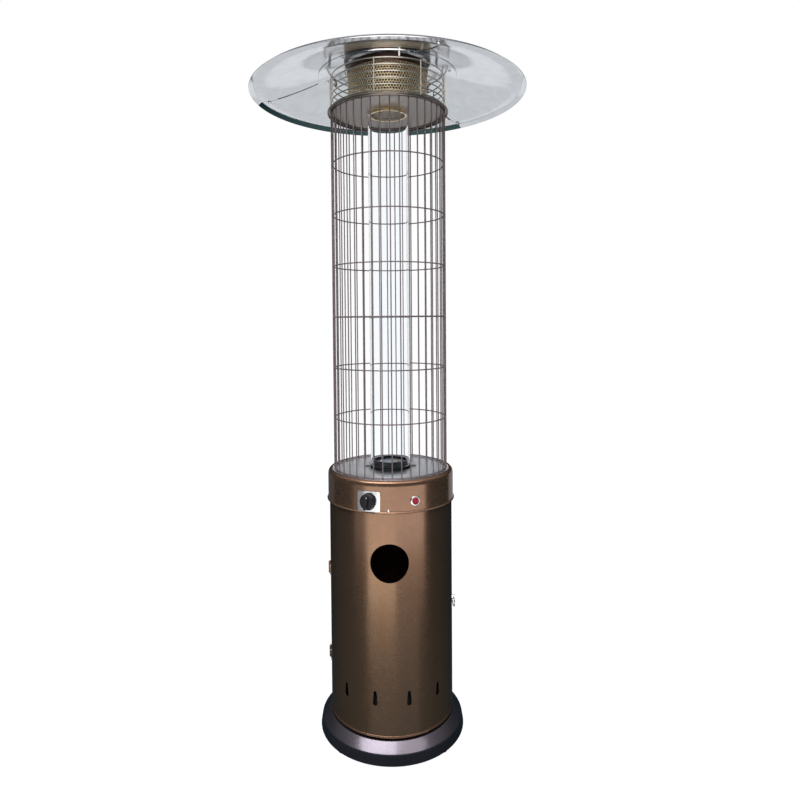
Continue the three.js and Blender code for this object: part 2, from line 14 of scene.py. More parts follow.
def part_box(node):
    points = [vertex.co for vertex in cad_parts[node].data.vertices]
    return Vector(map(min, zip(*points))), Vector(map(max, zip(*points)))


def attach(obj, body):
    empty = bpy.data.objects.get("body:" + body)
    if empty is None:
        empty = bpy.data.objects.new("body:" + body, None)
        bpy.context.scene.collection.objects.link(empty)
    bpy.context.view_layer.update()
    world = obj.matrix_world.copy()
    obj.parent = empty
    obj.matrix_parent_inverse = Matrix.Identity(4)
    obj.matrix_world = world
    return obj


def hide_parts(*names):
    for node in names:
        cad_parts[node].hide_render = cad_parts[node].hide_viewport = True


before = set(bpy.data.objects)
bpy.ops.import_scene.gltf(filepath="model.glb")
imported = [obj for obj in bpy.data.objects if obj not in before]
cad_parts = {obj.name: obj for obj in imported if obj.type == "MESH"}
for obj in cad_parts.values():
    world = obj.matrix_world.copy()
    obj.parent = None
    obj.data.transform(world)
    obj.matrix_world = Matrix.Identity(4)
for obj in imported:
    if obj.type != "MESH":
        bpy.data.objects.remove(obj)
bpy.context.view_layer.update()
MM = 0.001


# ---------------------------------------------------------------- sizes from the frame
def low(node):
    """A CAD node's lowest corner, in millimetres."""
    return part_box(node)[0] / MM


def high(node):
    """A CAD node's highest corner, in millimetres."""
    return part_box(node)[1] / MM


SHEET = 1.5
TANK_RADIUS = 185
TANK_OUTSIDE = TANK_RADIUS + 0.3  # where the hinge leaves and the pull's plate lie
TANK = {"bottom": low("tank_shell").z, "top": high("tank_shell").z, "door_top": high("tank_door").z}
PANEL = {"radius": 189.3, "bottom": low("control_housing").z, "top": high("control_housing").z}
HAND_HOLE = {"bearing": -1.5, "height": 558.6, "radius": 55}
VENT = {"low": 160, "high": 190.5, "wide": 7, "narrow": 4.5, "spacing": 30}
HINGE_HEIGHTS = {"lower": 218, "upper": 480}
HINGE = {"radius": 188.8, "tall": 34, "knuckle": 3.4, "bore": 1.8, "pin": 1.4, "head": 2.6}
PULL = {"bearing": 97, "radius": 194.6, "height": 373.5, "ring": 15, "wire": 1.8}
KNOB = {"bearing": -19, "height": 732.5, "radius": 23, "rest": 5.6}
VALVE_FACE = 60.4  # how deep behind the panel the gas pipe leaves the valve
IGNITER = {"bearing": 21, "height": 733}
FLAME_TUBE = (56.5, 59.5)  # its radii, inside and outside
BURNER_TOP = high("burner_cup").z
DECK_TOP = high("burner_deck").z
CAGE = {"rods": 40, "phase": 1.7, "circle": 169.2, "wire": 1.8, "first": 792, "pitch": 151, "rings": 8}
TOP_PLATE = {"radius": high("top_plate").x, "under": high("top_plate").z - 2}
EMITTER = {"radius": 118.5, "band": low("emitter_cap").z}
HEAD_GUARD = {"radius": 168, "first": 1861, "pitch": 18, "rings": 6, "wire": 1.9}
HEAD_UPRIGHTS = (-87.5, -12.5, 32.5, 77.5, 122.5, 167.5, 212.5)
REFLECTOR = {
    "radius": 406.5, "rim": 1909.5, "brim": 364, "rise": 131.5, "flare": 1.3, "sheet": 1.2, "centre": 205,
}
LIP = {"drop": 8, "reach": 14}
SEAMS = (21, 141, 261)
SEAM_GAP = 0.12
PANEL_SWEEP = 120 - 2 * SEAM_GAP
BACK_SEAM = SEAMS[1]  # where the panel at the back of the reflector starts
SEAM_SCREW = {"radius": 370, "turn": -1.2}
POST = {"circle": 168, "radius": 4, "stud": 3, "bearings": (11, 131, 251)}


# ---------------------------------------------------------------- shapes: (vertices, faces)
def lathe(outline, segments=96, start=0.0, sweep=360.0):
    """A closed outline of (radius, height) points, turned about the axis from a bearing."""
    whole = sweep >= 360
    count = segments if whole else segments + 1
    verts, rings = [], []
    for radius, height in outline:
        if radius == 0:
            rings.append([len(verts)] * count)
            verts.append((0, 0, height))
            continue
        rings.append(list(range(len(verts), len(verts) + count)))
        for k in range(count):
            bearing = math.radians(start + sweep * k / segments)
            verts.append((radius * math.sin(bearing), -radius * math.cos(bearing), height))
    faces = []
    for i, ring in enumerate(rings):
        above = rings[(i + 1) % len(rings)]
        for k in range(segments):
            m = (k + 1) % count
            face = list(dict.fromkeys((ring[k], ring[m], above[m], above[k])))
            if len(face) > 2:
                faces.append(face)
    if not whole:
        faces.append([ring[0] for ring in rings])
        faces.append([ring[-1] for ring in reversed(rings)])
    return verts, faces


def rounded(outline, radius, steps=3):
    """An outline with its corners rounded, but for those on the axis it turns about."""
    starts_on_axis = min(p[0] for p in outline) == 0
    made = []
    for i, point in enumerate(outline):
        before, here = Vector(outline[i - 1]), Vector(point)
        after = Vector(outline[(i + 1) % len(outline)])
        if starts_on_axis and point[0] == 0:
            made.append(tuple(point))
            continue
        back, ahead = before - here, after - here
        reach = min(radius, 0.45 * back.length, 0.45 * ahead.length)
        first = here + back.normalized() * reach
        last = here + ahead.normalized() * reach
        for k in range(steps + 1):
            t = k / steps
            made.append(tuple(first.lerp(here, t).lerp(here.lerp(last, t), t)))
    return made


def wire(points, radius, sides=12, closed=False):
    """Round wire along points, with softened ends where it is open."""
    points = [Vector(p) for p in points]
    count = len(points)
    tangents = []
    for i in range(count):
        before = points[i - 1] if closed or i else points[0]
        after = points[(i + 1) % count] if closed or i < count - 1 else points[-1]
        tangents.append((after - before).normalized())
    stations = [(p, t, radius) for p, t in zip(points, tangents)]
    if not closed:
        tip = 0.45 * radius
        first, last = stations[0], stations[-1]
        stations[0] = (first[0] + first[1] * tip, first[1], radius)
        stations[-1] = (last[0] - last[1] * tip, last[1], radius)
        stations.insert(0, (first[0], first[1], 0.6 * radius))
        stations.append((last[0], last[1], 0.6 * radius))
    normal = tangents[0].orthogonal().normalized()
    verts, faces = [], []
    for centre, tangent, size in stations:
        normal = (normal - tangent * normal.dot(tangent)).normalized()
        across = tangent.cross(normal)
        for k in range(sides):
            angle = 2 * math.pi * k / sides
            verts.append(centre + size * (math.cos(angle) * normal + math.sin(angle) * across))
    rings = len(stations)
    for i in range(rings if closed else rings - 1):
        for k in range(sides):
            m, above = (k + 1) % sides, (i + 1) % rings
            faces.append((i * sides + k, i * sides + m, above * sides + m, above * sides + k))
    if not closed:
        faces.append(tuple(reversed(range(sides))))
        faces.append(tuple(range((rings - 1) * sides, rings * sides)))
    return verts, faces


def hoop(inner, outer, bottom, top, corner=0.0):
    """The outline of a hoop, or of a rod when its inner radius is 0."""
    outline = [(inner, bottom), (outer, bottom), (outer, top), (inner, top)]
    return rounded(outline, corner) if corner else outline


def circle(radius, height):
    """The points of a level circle about the axis."""
    angles = (2 * math.pi * k / 160 for k in range(160))
    return [(radius * math.sin(a), -radius * math.cos(a), height) for a in angles]


def block(lo, hi):
    """A block between two corners."""
    verts = [(x, y, z) for z in (lo[2], hi[2]) for y in (lo[1], hi[1]) for x in (lo[0], hi[0])]
    faces = [(0, 2, 3, 1), (4, 5, 7, 6), (0, 1, 5, 4), (2, 6, 7, 3), (0, 4, 6, 2), (1, 3, 7, 5)]
    return verts, faces


def merged(*shapes):
    """Several shapes as one."""
    verts, faces = [], []
    for more_verts, more_faces in shapes:
        start = len(verts)
        verts.extend(more_verts)
        faces.extend([[start + i for i in face] for face in more_faces])
    return verts, faces


def moved(shape, *matrices):
    """A shape put through matrices, the first one first."""
    verts, faces = shape
    for matrix in matrices:
        verts = [matrix @ Vector(v) for v in verts]
    return verts, faces


def station(bearing, radius, height=0.0):
    """The place at a bearing, radius and height, with -Y outward, +X to its right and +Z up."""
    b = math.radians(bearing)
    there = Matrix.Translation((radius * math.sin(b), -radius * math.cos(b), height))
    return there @ Matrix.Rotation(b, 4, "Z")


OUTWARD = Matrix.Rotation(math.radians(90), 4, "X")  # what stands along +Z lies along -Y


def shift(x=0.0, y=0.0, z=0.0):
    return Matrix.Translation((x, y, z))


def evaluated(obj):
    """An object's shape with its modifiers applied; the object is removed."""
    graph = bpy.context.evaluated_depsgraph_get()
    mesh = bpy.data.meshes.new_from_object(obj.evaluated_get(graph), depsgraph=graph)
    shape = [v.co.copy() for v in mesh.vertices], [list(p.vertices) for p in mesh.polygons]
    bpy.data.objects.remove(obj)
    bpy.data.meshes.remove(mesh)
    return shape


def plate(loops, depth):
    """A flat sheet that faces -Y, from closed loops of (x, z) points: the edge, then its holes."""
    curve = bpy.data.curves.new("plate", "CURVE")
    curve.dimensions = "2D"
    curve.fill_mode = "BOTH"
    curve.extrude = depth / 2
    for loop in loops:
        spline = curve.splines.new("POLY")
        spline.points.add(len(loop) - 1)
        for point, (x, z) in zip(spline.points, loop):
            point.co = (x, z, 0, 1)
        spline.use_cyclic_u = True
    obj = bpy.data.objects.new("plate", curve)
    bpy.context.scene.collection.objects.link(obj)
    verts, faces = evaluated(obj)
    return [(x, -z, y) for x, y, z in verts], faces


def wrapped(shape, radius):
    """A flat sheet bent round the axis: x becomes length along the circle at a radius."""
    bm = bmesh.new()
    fill(bm, shape)
    bmesh.ops.remove_doubles(bm, verts=bm.verts, dist=1e-3)
    step = math.radians(2) * radius  # the length of each flat strip
    left, right = (f(v.co.x for v in bm.verts) for f in (min, max))
    for k in range(math.ceil(left / step), math.floor(right / step) + 1):
        everything = bm.verts[:] + bm.edges[:] + bm.faces[:]
        bmesh.ops.bisect_plane(
            bm, geom=everything, dist=1e-4, plane_co=(k * step, 0, 0), plane_no=(1, 0, 0)
        )
    bm.verts.index_update()
    verts = []
    for v in bm.verts:
        angle, distance = v.co.x / radius, radius - v.co.y
        verts.append((distance * math.sin(angle), -distance * math.cos(angle), v.co.z))
    faces = [[v.index for v in face.verts] for face in bm.faces]
    bm.free()
    return verts, faces


def fill(bm, shape):
    """Puts a shape into a bmesh."""
    verts = [bm.verts.new(v) for v in shape[0]]
    for face in shape[1]:
        if len(set(face)) > 2:
            bm.faces.new([verts[i] for i in face])


def cut(shape, *cutters):
    """A shape with closed shapes taken out of it."""
    body = bare_object("body", shape)
    tools = [bare_object("tool", cutter) for cutter in cutters]
    for tool in tools:
        modifier = body.modifiers.new("cut", "BOOLEAN")
        modifier.operation = "DIFFERENCE"
        modifier.solver = "EXACT"
        modifier.object = tool
    made = evaluated(body)
    for tool in tools:
        bpy.data.objects.remove(tool)
    return made


def bare_object(name, shape, scale=1.0):
    """A mesh object from a shape, with its faces turned outward."""
    bm = bmesh.new()
    fill(bm, shape)
    bmesh.ops.remove_doubles(bm, verts=bm.verts, dist=2e-3)
    bmesh.ops.recalc_face_normals(bm, faces=bm.faces)
    bmesh.ops.scale(bm, verts=bm.verts, vec=(scale,) * 3)
    mesh = bpy.data.meshes.new(name)
    bm.to_mesh(mesh)
    bm.free()
    obj = bpy.data.objects.new(name, mesh)
    bpy.context.scene.collection.objects.link(obj)
    return obj


def arc_points(x, z, radius, start, end, steps=8):
    """Points of an arc in a plate's plane, its angles from +X towards +Z."""
    angles = [math.radians(start + (end - start) * k / steps) for k in range(steps + 1)]
    return [(x + radius * math.cos(a), z + radius * math.sin(a)) for a in angles]


def round_rectangle(width, height, corner, x=0.0, z=0.0):
    """The points of a rectangle with round corners."""
    w, h = width / 2 - corner, height / 2 - corner
    made = []
    for k, (sx, sz) in enumerate(((1, 1), (-1, 1), (-1, -1), (1, -1))):
        made += arc_points(x + sx * w, z + sz * h, corner, 90 * k, 90 * k + 90)
    return made


def perforated(columns, rows, pitch, hole, place, keep=None):
    """A thin sheet with staggered round holes; place(u, v) puts a flat point in space."""
    rise, corner = pitch * math.sqrt(3) / 2, pitch / math.sqrt(3)
    verts, faces = [], []
    for row in range(rows):
        for column in range(columns):
            u0, v0 = (column + row % 2 / 2) * pitch, row * rise
            if keep and not keep(u0, v0):
                continue
            start = len(verts)
            for k in range(12):
                angle = math.radians(30 * k)
                for reach in ((pitch / 2, corner)[k % 2], hole):
                    verts.append(place(u0 + reach * math.cos(angle), v0 + reach * math.sin(angle)))
            for k in range(12):
                m = (k + 1) % 12
                faces.append([start + i for i in (2 * k, 2 * m, 2 * m + 1, 2 * k + 1)])
    return verts, faces


def perforated_disc(radius, pitch, hole, height):
    """A perforated disc about the axis; height(r) gives its level."""
    columns = 2 * math.ceil(radius / pitch) + 2
    rows = 2 * math.ceil(radius / (pitch * 0.866)) + 2
    u_mid, v_mid = (columns // 2) * pitch, (rows // 2 // 2 * 2) * pitch * math.sqrt(3) / 2

    def place(u, v):
        x, y = u - u_mid, v - v_mid
        return x, y, height(math.hypot(x, y))

    def keep(u, v):
        return math.hypot(u - u_mid, v - v_mid) < radius - pitch / 2

    return perforated(columns, rows, pitch, hole, place, keep)


# ---------------------------------------------------------------- materials
class Graph:
    """A tree of shader nodes; its calls return outputs that further calls take."""

    def __init__(self, tree):
        self.nodes, self.links = tree.nodes, tree.links

    def node(self, kind, inputs=(), **properties):
        made = self.nodes.new(kind)
        for key, value in properties.items():
            setattr(made, key, value)
        for socket, value in dict(inputs).items():
            self.put(made.inputs[socket], value)
        return made

    def put(self, socket, value):
        """Sets a socket to a value, or links an output to it."""
        if isinstance(value, bpy.types.NodeSocket):
            self.links.new(value, socket)
        else:
            socket.default_value = value

    def math(self, operation, a, b=0.0):
        return self.node("ShaderNodeMath", {0: a, 1: b}, operation=operation).outputs[0]

    def ramp(self, factor, *stops):
        """A ramp of (place, colour or grey) stops."""
        made = self.node("ShaderNodeValToRGB", {0: factor})
        elements = made.color_ramp.elements
        while len(elements) < len(stops):
            elements.new(0.5)
        for element, (where, colour) in zip(elements, stops):
            element.position = where
            grey = not isinstance(colour, tuple)
            element.color = (colour,) * 3 + (1,) if grey else colour + (1,)
        return made.outputs[0]

    def mix(self, factor, a, b, blend="MIX"):
        made = self.node("ShaderNodeMix", data_type="RGBA", blend_type=blend)
        for socket, value in ((0, factor), (6, a), (7, b)):
            if isinstance(value, tuple):
                value = value + (1,)
            self.put(made.inputs[socket], value)
        return made.outputs[2]


class Look(Graph):
    """A Principled material with textures in object space, where a unit is a metre."""

    def __init__(self, name, slot, **settings):
        self.material = bpy.data.materials.new(name)
        self.material.use_nodes = True
        super().__init__(self.material.node_tree)
        self.slot = slot
        self.shader = self.nodes["Principled BSDF"]
        for socket, value in settings.items():
            self.shader.inputs[socket.replace("_", " ")].default_value = value
        self.place = self.node("ShaderNodeTexCoord").outputs["Object"]

    def stretched(self, x, y, z):
        """The place, scaled along its axes."""
        inputs = {"Vector": self.place, "Scale": (x, y, z)}
        return self.node("ShaderNodeMapping", inputs).outputs[0]

    def polar(self, around=1.0, out=1.0, up=1.0):
        """The place as bearing, distance from the axis and height, each scaled."""
        split = self.node("ShaderNodeSeparateXYZ", {0: self.place}).outputs
        bearing = self.math("ARCTAN2", split["X"], split["Y"])
        squares = [self.math("MULTIPLY", split[k], split[k]) for k in "XY"]
        distance = self.math("SQRT", self.math("ADD", *squares))
        inputs = {
            "X": self.math("MULTIPLY", bearing, around),
            "Y": self.math("MULTIPLY", distance, out),
            "Z": self.math("MULTIPLY", split["Z"], up),
        }
        return self.node("ShaderNodeCombineXYZ", inputs).outputs[0]

    def noise(self, scale, detail=2.0, vector=None, distortion=0.0):
        inputs = {
            "Vector": vector or self.place, "Scale": scale, "Detail": detail,
            "Distortion": distortion,
        }
        return self.node("ShaderNodeTexNoise", inputs).outputs[0]

    def cells(self, scale, output="Color"):
        made = self.node("ShaderNodeTexVoronoi", {"Vector": self.place, "Scale": scale})
        return made.outputs[output]

    def colour(self, value):
        self.put(self.shader.inputs["Base Color"], value)

    def roughness(self, factor, least, most):
        inputs = {0: factor, 3: least, 4: most}
        made = self.node("ShaderNodeMapRange", inputs).outputs[0]
        self.put(self.shader.inputs["Roughness"], made)

    def bump(self, *layers):
        """Bumps of (height, strength, distance in millimetres), one on top of another."""
        normal = None
        for height, strength, distance in layers:
            inputs = {"Height": height, "Strength": strength, "Distance": distance * MM}
            if normal:
                inputs["Normal"] = normal
            normal = self.node("ShaderNodeBump", inputs).outputs[0]
        self.put(self.shader.inputs["Normal"], normal)


def metallic_paint(name, slot, deep, bright, rough, coat=0.6):
    """Metallic paint: flakes in a coloured coat under clear lacquer, with orange peel."""
    look = Look(name, slot, Metallic=0.85, Coat_Weight=coat, Coat_Roughness=0.1)
    look.shader.inputs["Specular Tint"].default_value = (0.35, 0.3, 0.28, 1)
    flakes = look.cells(2400)
    cloud = look.noise(9, 3)
    tint = look.mix(flakes, deep, bright)
    look.colour(look.mix(look.ramp(cloud, (0.35, 0.0), (0.7, 0.35)), tint, deep))
    look.roughness(look.noise(60, 4), rough - 0.05, rough + 0.06)
    look.bump((look.noise(700, 2), 0.12, 0.05), (look.noise(2600, 1), 0.1, 0.02))
    return look


def polished_sheet(name, tone, rough, waviness=0.35):
    """Polished sheet steel, with spinning marks round the axis, faint waves and handling marks."""
    look = Look(name, "polished_steel", Metallic=1.0)
    rings = look.noise(1, 3, look.polar(around=1.5, out=1100, up=300))
    marks = look.noise(14, 5, distortion=1.5)
    shade = tuple(0.88 * c for c in tone)
    look.colour(look.mix(look.ramp(marks, (0.4, 0.0), (0.68, 0.6)), tone, shade))
    look.roughness(look.mix(0.5, rings, marks), rough - 0.04, rough + 0.09)
    look.bump((look.noise(7, 2), waviness, 1.2), (rings, 0.05, 0.02))
    return look


def bright_metal(name, slot, tone, rough):
    """Plated or turned metal with fine wear and slight discolouring."""
    look = Look(name, slot, Metallic=1.0)
    wear = look.noise(500 / 12, 5)
    fine = look.noise(500, 3, look.stretched(1, 1, 6))
    shade = tuple(0.72 * c for c in tone)
    look.colour(look.mix(look.ramp(wear, (0.45, 0.0), (0.75, 0.7)), tone, shade))
    look.roughness(look.mix(0.6, wear, fine), rough - 0.05, rough + 0.12)
    look.bump((fine, 0.08, 0.03))
    return look


def galvanised_metal():
    """Zinc-coated steel with its spangle."""
    look = Look("galvanised_steel", "galvanised", Metallic=0.9)
    spangle = look.cells(170)
    tone = look.ramp(spangle, (0.0, (0.36, 0.37, 0.38)), (1.0, (0.56, 0.57, 0.58)))
    look.colour(tone)
    look.roughness(spangle, 0.34, 0.5)
    look.bump((look.noise(320, 3), 0.12, 0.04))
    return look


def heated_steel(name, slot, low_z, high_z, *tones):
    """Steel with the colours that heat leaves, spread evenly between two levels."""
    look = Look(name, slot, Metallic=0.95)
    split = look.node("ShaderNodeSeparateXYZ", {0: look.place}).outputs["Z"]
    inputs = {0: split, 1: low_z * MM, 2: high_z * MM}
    height = look.node("ShaderNodeMapRange", inputs).outputs[0]
    blotch = look.noise(26, 4, distortion=0.8)
    drift = look.math("ADD", height, look.math("MULTIPLY", look.math("SUBTRACT", blotch, 0.5), 0.35))
    tint = look.ramp(drift, *((k / (len(tones) - 1), tone) for k, tone in enumerate(tones)))
    soot = look.ramp(look.noise(90, 5), (0.45, 1.0), (0.8, 0.62))
    look.colour(look.mix(1.0, tint, soot, "MULTIPLY"))
    look.roughness(blotch, 0.28, 0.46)
    look.bump((look.noise(900, 3), 0.1, 0.03))
    return look


def moulded(name, slot, tone, rough, grain, strength=0.2):
    """Moulded plastic, rubber or ceramic with an even fine grain."""
    look = Look(name, slot)
    patch = look.noise(40, 3)
    worn = tuple(min(1.0, 1.35 * c + 0.01) for c in tone)
    look.colour(look.mix(look.ramp(patch, (0.45, 0.0), (0.8, 0.5)), tone, worn))
    look.roughness(patch, rough - 0.06, rough + 0.08)
    look.bump((look.cells(grain, "Distance"), strength, 0.05))
    return look


def coated_wire():
    """Brown metallic coat on round wire, a little thicker here and there."""
    look = Look("wire_coating", "wire_coat", Metallic=0.35, Coat_Weight=0.25, Coat_Roughness=0.25)
    thick = look.noise(160, 3)
    look.colour(look.ramp(thick, (0.3, (0.29, 0.22, 0.22)), (0.75, (0.42, 0.33, 0.33))))
    look.roughness(thick, 0.38, 0.52)
    look.bump((look.noise(1500, 2), 0.2, 0.05))
    return look


def clear_tube():
    """Clear heat-proof glass with faint drawing lines."""
    look = Look(
        "heat_glass", "clear_glass", Transmission_Weight=1.0, IOR=1.06,
        Base_Color=(0.97, 0.985, 1.0, 1),
    )
    lines = look.noise(1, 2, look.polar(around=14, out=1, up=0.4))
    look.roughness(lines, 0.0, 0.02)
    look.bump((lines, 0.02, 0.05))
    return look


STRAW, BRONZE_TINT = (0.8, 0.66, 0.45), (0.6, 0.44, 0.27)
BRONZE = metallic_paint(
    "bronze_metallic_paint", "bronze_paint", (0.36, 0.19, 0.11), (0.52, 0.3, 0.185), 0.25
)
DARK = metallic_paint(
    "dark_metallic_paint", "dark_paint", (0.15, 0.13, 0.145), (0.27, 0.23, 0.27), 0.26, 0.8
)
WIRE = coated_wire()
MIRROR = polished_sheet("polished_reflector", (0.8, 0.8, 0.815), 0.1)
# A darker, greener copy of the polished reflector steel: a painted dark teal reflection, used on the back rim
# lip only.
SHADED_RIM_STEEL = polished_sheet("rim_steel_painted_reflection", (0.7, 0.72, 0.72), 0.14)
# Reflector sheet steel painted dark grey: a painted shadow line along each seam's lap joint.
SEAM_SHADOW_STEEL = polished_sheet("seam_fold_painted_shadow", (0.3, 0.3, 0.3), 0.3, 0.1)
SATIN = polished_sheet("satin_deck", (0.62, 0.62, 0.64), 0.3, 0.1)
CHROME = bright_metal("bright_plating", "bright_steel", (0.75, 0.75, 0.77), 0.16)
BRIGHT_WIRE = bright_metal("bright_wire", "bright_steel", (0.56, 0.53, 0.48), 0.26)
ZINC = galvanised_metal()
BRASS = bright_metal("turned_brass", "brass", (0.62, 0.42, 0.17), 0.28)
BURNT = heated_steel(
    "burnt_steel", "burnt_steel", 740, 815, (0.05, 0.05, 0.055), (0.035, 0.04, 0.042)
)
CAP_STEEL = heated_steel(
    "burnt_cap", "burnt_steel", 1962, 1986, (0.09, 0.06, 0.05), (0.06, 0.035, 0.03)
)
EMITTER_STEEL = heated_steel(
    "heated_screen", "mesh_steel", 1852, 1965, STRAW, (0.75, 0.6, 0.4), BRONZE_TINT
)
FLUE_STEEL = heated_steel(
    "heated_flue", "mesh_steel", 1842, 1853, (0.13, 0.09, 0.055), (0.17, 0.12, 0.07)
)
FLUE_RIM = heated_steel(
    "heated_flue_rim", "mesh_steel", 1842, 1853, (0.8, 0.62, 0.38), (0.7, 0.52, 0.3)
)
BURNER_STEEL = heated_steel(
    "burner_screen", "mesh_steel", 799, 805, (0.34, 0.37, 0.43), (0.5, 0.54, 0.6)
)
# Polished steel given a dull brown tone: a painted reflection of the brown cage and deck below the plate.
TOP_PLATE_PAINTED_REFLECTION = polished_sheet("top_plate_painted_reflection", (0.24, 0.2, 0.18), 0.32, 0.15)
BLACK = moulded("black_plastic", "black_plastic", (0.012, 0.013, 0.015), 0.4, 1400)
RED = moulded("red_plastic", "red_plastic", (0.55, 0.012, 0.03), 0.2, 600, 0.04)
RUBBER = moulded("black_rubber", "rubber", (0.016, 0.016, 0.017), 0.75, 900, 0.35)
CERAMIC = moulded("white_ceramic", "ceramic", (0.78, 0.76, 0.7), 0.3, 800, 0.08)
WHITE_MARK = moulded("white_mark", "black_plastic", (0.8, 0.8, 0.78), 0.4, 900, 0.05)
GLASS = clear_tube()

STEEL_PIECES = bpy.data.collections.new("steel_pieces")
NOT_THE_BASE = bpy.data.collections.new("not_the_base")
HOUSING_PIECES = bpy.data.collections.new("housing_pieces")
SHARP = 38  # degrees between two faces, past which their edge shows


# ---------------------------------------------------------------- pieces
def soften(obj, width, angle, harden=False):
    """Rounds an object's edges sharper than an angle, by a width in millimetres."""
    edges = obj.modifiers.new("edges", "BEVEL")
    edges.width = width * MM
    edges.segments = 2
    edges.limit_method = "ANGLE"
    edges.angle_limit = math.radians(angle)
    edges.harden_normals = harden


def piece(name, shape, look, body="heater", replaces=(), bevel=0.0, sheet=0.0):
    """A finished object from a shape, in a look, riding on a body, for the CAD nodes it replaces."""
    obj = bare_object(name, shape, MM)
    mesh = obj.data
    mesh.materials.append(look.material)
    mesh.polygons.foreach_set("use_smooth", [True] * len(mesh.polygons))
    if sheet:
        thicken = obj.modifiers.new("sheet", "SOLIDIFY")
        thicken.thickness = sheet * MM
        thicken.offset = -1
    if bevel:
        soften(obj, bevel, SHARP, harden=True)
    else:
        mesh.set_sharp_from_angle(angle=math.radians(SHARP))
    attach(obj, body)
    if replaces:
        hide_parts(*replaces)
    if look in (MIRROR, SATIN, CHROME, BRIGHT_WIRE, ZINC):
        STEEL_PIECES.objects.link(obj)
    return obj


def finish_node(name, look, bevel=0.4):
    """Keeps a CAD node's shape, with softened edges and a look."""
    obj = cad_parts[name]
    obj.material_slots[0].material = look.material
    soften(obj, bevel, 40)


def pan_screw(radius, height, drive=True):
    """A pan-head screw that stands along +Z, with a cross recess."""
    head = rounded([(0, 0), (radius, 0), (radius, 0.45 * height), (0.62 * radius, height), (0, height)], 0.5)
    shape = lathe(head, 24)
    if drive:
        arm, depth = 0.42 * radius, 0.5 * height
        cross = [
            block((-arm, -0.12 * radius, height - depth), (arm, 0.12 * radius, height + 1)),
            block((-0.12 * radius, -arm, height - depth), (0.12 * radius, arm, height + 1)),
        ]
        shape = cut(shape, *cross)
    return shape


def make_base():
    under, top = 54.3, high("base_pan").z
    profile = rounded([
        (0, under), (185, under), (208.4, 32), (212.2, 28.6), (215.6, 6), (190, 6), (190, 4),
        (217.4, 4), (218, 6.6), (213.4, 33.6), (188.2, top), (186, top - 0.9), (160, top - 0.9),
        (157, top), (154, top - 0.9), (0, top - 0.9),
    ], 3.2, 5)
    piece("base_pan_formed", lathe(profile, 192), DARK, replaces=["base_pan"])
    puck = rounded([
        (0, 1.4), (4, 1.4), (5, 0), (12, 0), (12, 1.2), (11.4, 1.6), (11.2, 3.7), (0, 3.7),
    ], 0.5)
    for i in range(4):
        place = station(45 + 90 * i, 203)
        piece(f"foot_pad_{i + 1}", moved(lathe(puck, 40), place), RUBBER, replaces=[f"foot_{i + 1}"])


def vent_loop(bearing):
    x = math.radians(bearing) * TANK_RADIUS
    lower = arc_points(x, VENT["low"], VENT["wide"], 180, 360)
    return lower + arc_points(x, VENT["high"], VENT["narrow"], 0, 180)


def housing_half(centre, top, *holes):
    """Half of the tank housing: a bent sheet with vents, and the bead at its foot."""
    half = math.radians(89.7) * TANK_RADIUS
    edge = [(-half, TANK["bottom"] + 3), (half, TANK["bottom"] + 3), (half, top), (-half, top)]
    vents = [vent_loop(k * VENT["spacing"]) for k in (-2.5, -1.5, -0.5, 0.5, 1.5, 2.5)]
    wall = moved(plate([edge, *holes, *vents], SHEET), shift(y=SHEET / 2))
    bottom = TANK["bottom"]
    bead = lathe(rounded([
        (183.5, bottom), (186.4, bottom), (187.4, bottom + 2.4), (185.2, bottom + 6),
        (183.5, bottom + 6),
    ], 1.4, 4), 90, -89.7, 179.4)
    return moved(merged(wrapped(wall, TANK_RADIUS), bead), station(centre, 0))


def make_tank():
    x = math.radians(HAND_HOLE["bearing"]) * TANK_RADIUS
    hand_hole = arc_points(x, HAND_HOLE["height"], HAND_HOLE["radius"], 0, 360, 72)[:-1]
    front = housing_half(0, TANK["top"], hand_hole)
    piece("tank_shell_wall", front, BRONZE, replaces=["tank_shell"], bevel=0.5)
    rear = housing_half(180, TANK["door_top"])
    piece("tank_door_wall", rear, BRONZE, "door", ["tank_door"], bevel=0.5)
    for side in ("left", "right"):
        finish_node(f"frame_post_{side}", ZINC)
    finish_node("magnet_catch", BLACK)
    keeper = moved(plate([round_rectangle(11, 24, 2)], 0.7), station(92, 183.0, 640))
    piece("magnet_keeper", keeper, ZINC, "door", bevel=0.2)


